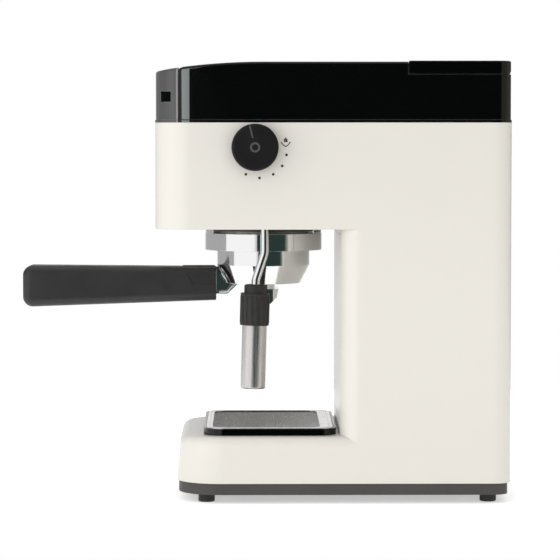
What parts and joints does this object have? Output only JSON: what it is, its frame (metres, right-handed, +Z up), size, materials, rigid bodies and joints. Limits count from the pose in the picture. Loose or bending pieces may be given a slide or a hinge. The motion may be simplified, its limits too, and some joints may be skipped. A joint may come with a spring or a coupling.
{
  "type": "espresso machine",
  "caption": "Slim pump espresso machine with a gloss black top, lever-handled filter holder, side steam knob and frothing wand, lidded rear water tank and lift-out drip tray.",
  "frame": {"origin": "centre of the bounding box, at the level of the counter the feet stand on", "axes": "+Y from the filter holder's handle to the back of the casing, +X to the user's right where the steam knob is, +Z up"},
  "size_m": [0.158, 0.3392, 0.3027],
  "materials": {
    "white_casing": "smooth warm white moulded casing",
    "black_gloss": "deep gloss black moulded top",
    "panel_grey": "satin dark grey control panel",
    "base_grey": "fine-textured dark grey plate",
    "black_plastic": "satin black moulded plastic",
    "window_black": "polished black window",
    "rubber": "black rubber",
    "silicone_white": "translucent white silicone hose",
    "seal_red": "red-brown silicone seal",
    "chrome": "bright chrome plate",
    "brushed_steel": "brushed stainless steel",
    "polished_steel": "polished stainless steel",
    "zinc_steel": "zinc-plated steel",
    "cast_aluminium": "die-cast aluminium",
    "brass": "turned brass",
    "smoke_clear": "smoke-tinted clear plastic",
    "winding": "potted coil in a steel yoke",
    "circuit_board": "green circuit board"
  },
  "bodies": {
    "machine": {"body_shell": "white_casing", "column_front_panel": "white_casing", "rear_panel": "white_casing", "cord_gland": "black_plastic", "base_plate": "base_grey", "casing_screws": "zinc_steel", "rubber_feet": "rubber", "top_cover": "black_gloss", "cup_tray": "brushed_steel", "front_panel": "panel_grey", "indicator_windows": "window_black", "control_board": "circuit_board", "tank_shelf": "black_plastic", "tank_seat": "black_plastic", "tank_seat_seal": "seal_red", "pump_body": "black_plastic", "pump_coil": "winding", "pump_mounts": "rubber", "pump_bracket": "zinc_steel", "relief_valve": "brass", "suction_hose": "silicone_white", "pressure_hose": "silicone_white", "boiler_lower": "cast_aluminium", "boiler_upper": "cast_aluminium", "boiler_screws": "zinc_steel", "heating_element": "polished_steel", "thermostats": "black_plastic", "steam_valve_body": "brass", "steam_feed_pipe": "polished_steel", "wand_socket": "brass", "head_underside_plate": "black_plastic", "group_head": "cast_aluminium", "group_gasket": "rubber", "shower_screen": "polished_steel", "shower_screw": "polished_steel", "group_collar": "chrome", "collar_screws": "zinc_steel"},
    "water_tank": {"water_tank": "smoke_clear", "lid_hinge_pins": "zinc_steel", "tank_valve_body": "black_plastic", "tank_valve_spring": "polished_steel"},
    "tank_lid": {"tank_lid": "black_gloss"},
    "tank_valve_plunger": {"tank_valve_plunger": "black_plastic"},
    "filter_holder": {"portafilter_body": "chrome", "filter_basket": "polished_steel", "portafilter_spout": "chrome", "handle_neck": "chrome", "handle_grip": "black_plastic", "handle_bolt": "zinc_steel"},
    "filter_clip": {"filter_clip": "black_plastic"},
    "steam_knob": {"steam_knob": "black_plastic", "steam_spindle": "brass"},
    "steam_wand": {"steam_pipe": "chrome", "wand_sleeve": "rubber", "frothing_tube": "brushed_steel"},
    "drip_tray": {"drip_tray": "black_gloss"},
    "drip_grate": {"drip_grate": "brushed_steel"},
    "steam_button": {"steam_button": "chrome"},
    "brew_button": {"brew_button": "chrome"},
    "power_button": {"power_button": "chrome"}
  },
  "joints": [
    {"name": "tank_lift", "type": "slide", "parent": "machine", "child": "water_tank", "axis": [0, 0, 1], "range_m": [0, 0.145]},
    {"name": "lid_hinge", "type": "hinge", "parent": "water_tank", "child": "tank_lid", "pos_m": [-0.007, 0.16815, 0.2935], "axis": [-1, 0, 0], "range_deg": [0, 80]},
    {"name": "valve_lift", "type": "slide", "parent": "water_tank", "child": "tank_valve_plunger", "axis": [0, 0, 1], "range_m": [0, 0.002], "stiffness_N_per_m": 120, "springref_m": -0.003, "deforming": ["tank_valve_spring"]},
    {"name": "filter_holder_turn", "type": "hinge", "parent": "machine", "child": "filter_holder", "pos_m": [-0.007, -0.00015, 0.17], "axis": [0, 0, -1], "range_deg": [0, 50]},
    {"name": "clip_rock", "type": "hinge", "parent": "filter_holder", "child": "filter_clip", "pos_m": [-0.007, -0.04415, 0.1584], "axis": [1, 0, 0], "range_deg": [0, 15]},
    {"name": "steam_knob_turn", "type": "hinge", "parent": "machine", "child": "steam_knob", "pos_m": [0.065, -0.00605, 0.2439], "axis": [-1, 0, 0], "range_deg": [0, 210]},
    {"name": "wand_swivel", "type": "hinge", "parent": "machine", "child": "steam_wand", "pos_m": [0.039, 0.00055, 0.19], "axis": [0, 0, 1], "range_deg": [-60, 60]},
    {"name": "tray_lift", "type": "slide", "parent": "machine", "child": "drip_tray", "axis": [0, 0, 1], "range_m": [0, 0.013]},
    {"name": "grate_lift", "type": "slide", "parent": "drip_tray", "child": "drip_grate", "axis": [0, 0, 1], "range_m": [0, 0.01]},
    {"name": "steam_button_press", "type": "slide", "parent": "machine", "child": "steam_button", "axis": [0, 1, 0], "range_m": [0, 0.0015], "stiffness_N_per_m": 400, "springref_m": -0.003},
    {"name": "brew_button_press", "type": "slide", "parent": "machine", "child": "brew_button", "axis": [0, 1, 0], "range_m": [0, 0.0015], "stiffness_N_per_m": 400, "springref_m": -0.003},
    {"name": "power_button_press", "type": "slide", "parent": "machine", "child": "power_button", "axis": [0, 1, 0], "range_m": [0, 0.0015], "stiffness_N_per_m": 400, "springref_m": -0.003}
  ]
}
